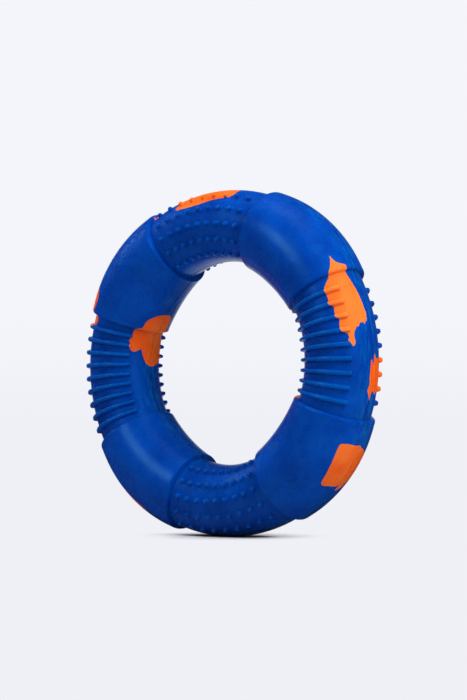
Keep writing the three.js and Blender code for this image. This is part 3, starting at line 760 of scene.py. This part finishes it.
def smooth_loop(corners):
    """Closed curve through the corners."""
    before, here, after, beyond = (np.roll(corners, shift, axis=0)[:, None] for shift in (1, 0, -1, -2))
    t = np.linspace(0, 1, CURVE_STEPS, endpoint=False)[None, :, None]
    curve = 0.5 * (2 * here + (after - before) * t + (2 * before - 5 * here + 4 * after - beyond) * t**2
                   + (3 * here - before - 3 * after + beyond) * t**3)
    return curve.reshape(-1, 2)


def even_loop(curve, step):
    """The same closed curve in even steps."""
    closed = np.vstack([curve, curve[:1]])
    lengths = np.hypot(*np.diff(closed, axis=0).T)
    along = np.concatenate([[0], np.cumsum(lengths)])
    stations = np.linspace(0, along[-1], max(FEWEST_STEPS, round(along[-1] / step)), endpoint=False)
    return np.column_stack([np.interp(stations, along, closed[:, i]) for i in (0, 1)]), stations / along[-1]


def wobbled(loop, shares, roughness, seed):
    """The loop with a seeded wobble across it, up to about roughness millimetres."""
    random = np.random.default_rng(seed)
    sway = np.zeros(len(loop))
    for wave in range(WOBBLES):
        turns = round((wave + 2) ** WOBBLE_SPREAD)
        sway += np.sin(TAU * (turns * shares + random.random())) / (wave + 2) ** WOBBLE_FALL
    ahead = np.roll(loop, -1, axis=0) - np.roll(loop, 1, axis=0)
    across = np.column_stack([ahead[:, 1], -ahead[:, 0]]) / np.hypot(*ahead.T)[:, None]
    return loop + across * (sway * roughness * MM / 2)[:, None]


def patch_block(name, outline, roughness, seed):
    """Closed block over a patch, from under the skin to above the ribs and nubs."""
    scale = np.radians([RING_RADIUS, TUBE_RADIUS])
    loop, shares = even_loop(smooth_loop(np.array(outline) * scale), EDGE_STEP)
    loop = wobbled(loop, shares, roughness, seed)
    low, high = loop.min(axis=0), loop.max(axis=0)
    grid = [Vector((x, y)) for x in np.arange(low[0], high[0], INNER_STEP)
            for y in np.arange(low[1], high[1], INNER_STEP)]
    corners = [Vector(point) for point in loop]
    ring = [(i, (i + 1) % len(corners)) for i in range(len(corners))]
    flat, _, faces, *_ = delaunay_2d_cdt(corners + grid, ring, [], 1, MEETING_DISTANCE)

    around, over = np.array(flat).T / scale[:, None]
    skin_radius = plain_radius(around)
    around, over = np.radians(around), np.radians(over)
    shape = bmesh.new()
    sheets = []
    for radius in (skin_radius - PATCH_DEPTH, skin_radius + PATCH_REACH):
        reach = RING_RADIUS + radius * np.cos(over)
        spots = np.column_stack([reach * np.cos(around), -radius * np.sin(over),
                                 reach * np.sin(around) + CENTRE_HEIGHT])
        sheets.append([shape.verts.new(spot) for spot in spots])
    sides = {}
    for face in faces:
        shape.faces.new([sheets[0][i] for i in reversed(face)])
        shape.faces.new([sheets[1][i] for i in face])
        for a, b in zip(face, face[1:] + face[:1]):
            sides[frozenset((a, b))] = None if frozenset((a, b)) in sides else (a, b)
    for a, b in filter(None, sides.values()):
        shape.faces.new([sheets[0][a], sheets[0][b], sheets[1][b], sheets[1][a]])
    loose = [corner for corner in shape.verts if not corner.link_faces]
    bmesh.ops.delete(shape, geom=loose, context="VERTS")
    bmesh.ops.recalc_face_normals(shape, faces=shape.faces)
    mesh = bpy.data.meshes.new(name)
    shape.to_mesh(mesh)
    shape.free()
    return put(name, mesh)


blocks = {name: patch_block(name + "_block", outline, roughness, seed)
          for seed, (name, (outline, roughness, *_)) in enumerate(PATCHES.items())}
for block in blocks.values():
    measure(block)

# %% [markdown]
# Each half is now cut along the blocks: what is inside a block is an orange piece, and what is
# left is the blue shell. Both are cut with the same block, so they fit without a gap. A patch that
# crosses the parting line gives one piece in each half.

# %% Cut the patches out
pieces = {}
for half, whole, place in (("front", front_whole, 3), ("rear", rear_whole, 4)):
    shell = whole
    for name, patch in PATCHES.items():
        if patch[place] is None:
            continue
        piece = combined(f"{name}_{half}", whole, blocks[name], "INTERSECT")
        pieces[piece.name] = (piece, patch[place], orange_rubber, patch[2])
        cut = combined(f"blue_{half}", shell, blocks[name], "DIFFERENCE")
        if shell is not whole:
            discard(shell)
        shell = cut
    shell.name = f"blue_{half}"
    pieces[shell.name] = (shell, f"{half}_half_shell", blue_rubber, BLUE_SHADE)
discard(front_whole, rear_whole, *blocks.values())
for piece, *_ in pieces.values():
    measure(piece)

# %% [markdown]
# The rubber's pattern needs to know where ribs and nubs stand up, so each corner of a mesh stores
# its height above the plain skin. It also stores how dark the piece's pigment is. That is partly
# because the orange blobs were not all mixed alike and partly painted light: the brightly lit
# right patch gets a light pigment and the shaded inner left one a dark pigment. Faces are shaded
# smooth, with hard edges only where the surface truly turns.

# %% Finish the pieces
SHARP_ANGLE = 40.0


def finish(piece, rubber, shade):
    mesh = piece.data
    mesh.materials.clear()
    mesh.materials.append(rubber)
    mesh.polygons.foreach_set("material_index", np.zeros(len(mesh.polygons), dtype=np.int32))
    mesh.shade_smooth()
    mesh.set_sharp_from_angle(angle=math.radians(SHARP_ANGLE))
    spots = np.empty(len(mesh.vertices) * 3, dtype=np.float32)
    mesh.vertices.foreach_get("co", spots)
    x, y, z = spots.reshape(-1, 3).T.astype(float)
    z = z - CENTRE_HEIGHT
    around = np.degrees(np.arctan2(z, x))
    rise = np.hypot(np.hypot(x, z) - RING_RADIUS, y) - plain_radius(around)
    for name, values in (("rise", rise / MM), ("shade", np.full(len(rise), shade))):
        mesh.attributes.new(name, "FLOAT", "POINT").data.foreach_set("value", values.astype(np.float32))


for piece, node, rubber, shade in pieces.values():
    finish(piece, rubber, shade)
    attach(piece, "root")
    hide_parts(node)
print("pieces:", len(pieces), "faces:", sum(len(piece.data.polygons) for piece, *_ in pieces.values()))

# %% [markdown]
# ## Floor, light and camera
#
# The ring stands on a pale, slightly glossy floor, which takes a soft shadow and a faint
# reflection. The camera is low, so the floor runs far back. A little way from the ring it changes
# over to the backdrop's colour, and then no horizon shows. Light Path nodes keep that change away
# from the light on the ring. In the rubber's gloss only the backdrop behind the ring is bright, as
# in a studio whose other walls are dark, so the blue stays deep and just its far rims go pale. No
# light gets under the ring where it bears on the floor. A soft floor shadow alone is too weak
# there, so an ambient occlusion node darkens what is within a few millimetres of the rubber.

# %% Backdrop and floor
BACKDROP = linear(0xF4F5FA)
BACKDROP_LOW = linear(0xEFF0F6)
FLOOR_COLOUR = linear(0xC9C9CE)
FLOOR_BOUNCE = linear(0xB8B8BC)
FLOOR_IN_GLOSS = linear(0x505052)
BACKDROP_SIDE = (-0.614, 0.789, 0.0)
ROOM_LEVEL = 0.02
GLOSS_LEVEL = 1.0
GLOSS_SWEEP = 0.9
FLOOR_RADIUS = 12.0
BLEND_START = 0.012
BLEND_END = 0.044
FLOOR_ROUGHNESS = 0.28
FLOOR_IOR = 1.45
FLOOR_MOTTLE = 0.04
MOTTLE_SCALE = 6.0
CONTACT_GAP = 5 * MM
CONTACT_CORE = 0.3
CONTACT_EDGE = 0.75
CONTACT_SHADE = 0.95
BLACK = (0.0, 0.0, 0.0, 1.0)
WHITE = (1.0, 1.0, 1.0, 1.0)
AMBIENT = 0.23
HORIZON_FADE = 0.06


def seen_directly(add):
    """1 for rays from the camera, off gloss and through glass, and 0 for rays that light a surface."""
    path = add("ShaderNodeLightPath")
    shiny = add(MATH, [path.outputs["Is Glossy Ray"], path.outputs["Is Transmission Ray"]],
                operation="MAXIMUM")
    return add(MATH, [path.outputs["Is Camera Ray"], shiny], operation="MAXIMUM")


def backdrop_level(add, direction):
    """1 for what the camera sees; off gloss only the backdrop is bright, and the room in front is dim."""
    way = add(VECTOR_MATH, [direction], operation="NORMALIZE")
    facing = add(VECTOR_MATH, [way, BACKDROP_SIDE], operation="DOT_PRODUCT").outputs["Value"]
    sweep = add(RANGE, {"Value": facing, "From Min": GLOSS_SWEEP, "From Max": 1.0,
                        "To Min": ROOM_LEVEL, "To Max": GLOSS_LEVEL}, interpolation_type="SMOOTHSTEP")
    only_gloss = add("ShaderNodeLightPath").outputs["Is Glossy Ray"]
    return add(MIX, {"Factor": only_gloss, "A": 1.0, "B": sweep})


def studio_floor():
    material = bpy.data.materials.new("studio_floor")
    add = start_shader(material)
    place = add("ShaderNodeTexCoord").outputs["Object"]
    mottle = add(NOISE, {"Vector": place, "Scale": MOTTLE_SCALE, "Detail": 2.0})
    gloss = add(RANGE, {"Value": mottle, "To Min": FLOOR_ROUGHNESS - FLOOR_MOTTLE,
                        "To Max": FLOOR_ROUGHNESS + FLOOR_MOTTLE})
    path = add("ShaderNodeLightPath")
    only_camera = path.outputs["Is Camera Ray"]
    only_gloss = path.outputs["Is Glossy Ray"]
    bounced = add(MIX, {"Factor": only_gloss, "A": FLOOR_BOUNCE, "B": FLOOR_IN_GLOSS}, data_type="RGBA")
    pale = add(MIX, {"Factor": only_camera, "A": bounced.outputs[2], "B": FLOOR_COLOUR}, data_type="RGBA")
    near = add(PRINCIPLED, {"Base Color": pale.outputs[2], "Roughness": gloss, "IOR": FLOOR_IOR})
    gap = add("ShaderNodeAmbientOcclusion", {"Distance": CONTACT_GAP}, samples=16)
    pressed = add(RANGE, {"Value": gap.outputs["AO"], "From Min": CONTACT_CORE, "From Max": CONTACT_EDGE,
                          "To Min": CONTACT_SHADE, "To Max": 0.0})
    under = add(MATH, [pressed, only_camera], operation="MULTIPLY")
    black = add("ShaderNodeBsdfDiffuse", {"Color": BLACK})
    shadowed = add("ShaderNodeMixShader", [under, near, black])
    far = add("ShaderNodeEmission", {"Color": BACKDROP_LOW, "Strength": backdrop_level(add, place)})
    distance = add(VECTOR_MATH, [place], operation="LENGTH").outputs["Value"]
    blend = add(RANGE, {"Value": distance, "From Min": BLEND_START, "From Max": BLEND_END},
                interpolation_type="SMOOTHSTEP")
    share = add(MATH, [blend, seen_directly(add)], operation="MULTIPLY")
    surface = add("ShaderNodeMixShader", [share, shadowed, far])
    add("ShaderNodeOutputMaterial", {"Surface": surface})
    return material


# %% Lay the floor
shape = bmesh.new()
bmesh.ops.create_circle(shape, cap_ends=True, segments=128, radius=FLOOR_RADIUS)
floor_mesh = bpy.data.meshes.new("floor")
shape.to_mesh(floor_mesh)
shape.free()
floor_mesh.materials.append(studio_floor())
floor = put("floor", floor_mesh)

# %% World
world = bpy.data.worlds.new("studio")
add = start_shader(world)
lit = add("ShaderNodeBackground", {"Color": WHITE, "Strength": AMBIENT})
view = add("ShaderNodeTexCoord").outputs["Generated"]
height = add(RANGE, {"Value": add(SEPARATE, [view]).outputs["Z"], "From Max": HORIZON_FADE},
             interpolation_type="SMOOTHSTEP")
fade = add(MIX, {"Factor": height, "A": BACKDROP_LOW, "B": BACKDROP}, data_type="RGBA")
level = backdrop_level(add, view)
shown = add("ShaderNodeBackground", {"Color": fade.outputs[2], "Strength": level})
add("ShaderNodeOutputWorld", {"Surface": add("ShaderNodeMixShader", [seen_directly(add), lit, shown])})
bpy.context.scene.world = world
print("backdrop:", [round(part, 3) for part in BACKDROP[:3]])

# %% [markdown]
# One softbox stands front left and a little above the ring. It alone shows in the gloss, as the
# narrow sheen that runs down the collars. The others light the colour but make no glare, as lamps
# behind crossed polarisers do. Those at the right and the left are small enough to draw a crisp
# dark line under each rib.

# %% Lamps
def softbox(name, spot, size, watts, glare):
    lamp = bpy.data.lights.new(name, "AREA")
    lamp.shape = "DISK"
    lamp.size = size
    lamp.energy = watts
    holder = put(name, lamp)
    holder.location = spot
    aim = Vector((0, 0, CENTRE_HEIGHT)) - holder.location
    holder.rotation_euler = aim.to_track_quat("-Z", "Y").to_euler()
    holder.visible_glossy = glare


for lamp in (
    ("key_softbox", (-0.3, -0.95, 0.57), 0.4, 1.55, True),
    ("front_softbox", (0.45, -0.45, 0.95), 0.4, 2.0, False),
    ("left_softbox", (-0.95, -0.15, 0.6), 0.4, 8.5, False),
    ("right_softbox", (0.85, -0.1, 0.7), 0.45, 8.4, False),
    ("right_low_softbox", (1.05, -0.3, 0.15), 0.6, 3.2, False),
    ("overhead_softbox", (0, -0.05, 1.1), 0.6, 6.0, False),
):
    softbox(*lamp)

# %% [markdown]
# The photograph was taken with a long lens, a little below the ring's middle and well to its right,
# so the ring looks narrower than it is. The camera stands there, with no shift and no blur.

# %% Camera
AZIMUTH = math.radians(37.9152)
ELEVATION = math.radians(-1.9704)
DISTANCE = 871.2 * MM
LENS = 107.97
FILM_HEIGHT = 36
AIM_RIGHT = 1.945 * MM
AIM_UP = 5.397 * MM

centre = Vector((0, 0, CENTRE_HEIGHT))
back = Vector((math.sin(AZIMUTH) * math.cos(ELEVATION), -math.cos(AZIMUTH) * math.cos(ELEVATION),
               math.sin(ELEVATION)))
right = (-back).cross(Vector((0, 0, 1))).normalized()
up = right.cross(-back)
lens = bpy.data.cameras.new("camera")
lens.lens = LENS
lens.sensor_fit = "VERTICAL"
lens.sensor_height = FILM_HEIGHT
lens.clip_end = 100
camera = put("camera", lens)
camera.location = centre + back * DISTANCE
aim = centre + right * AIM_RIGHT + up * AIM_UP - camera.location
camera.rotation_euler = aim.to_track_quat("-Z", "Y").to_euler()
bpy.context.scene.camera = camera
bpy.context.scene.view_settings.view_transform = "Standard"
print("camera height, mm:", round(camera.location.z / MM, 1))
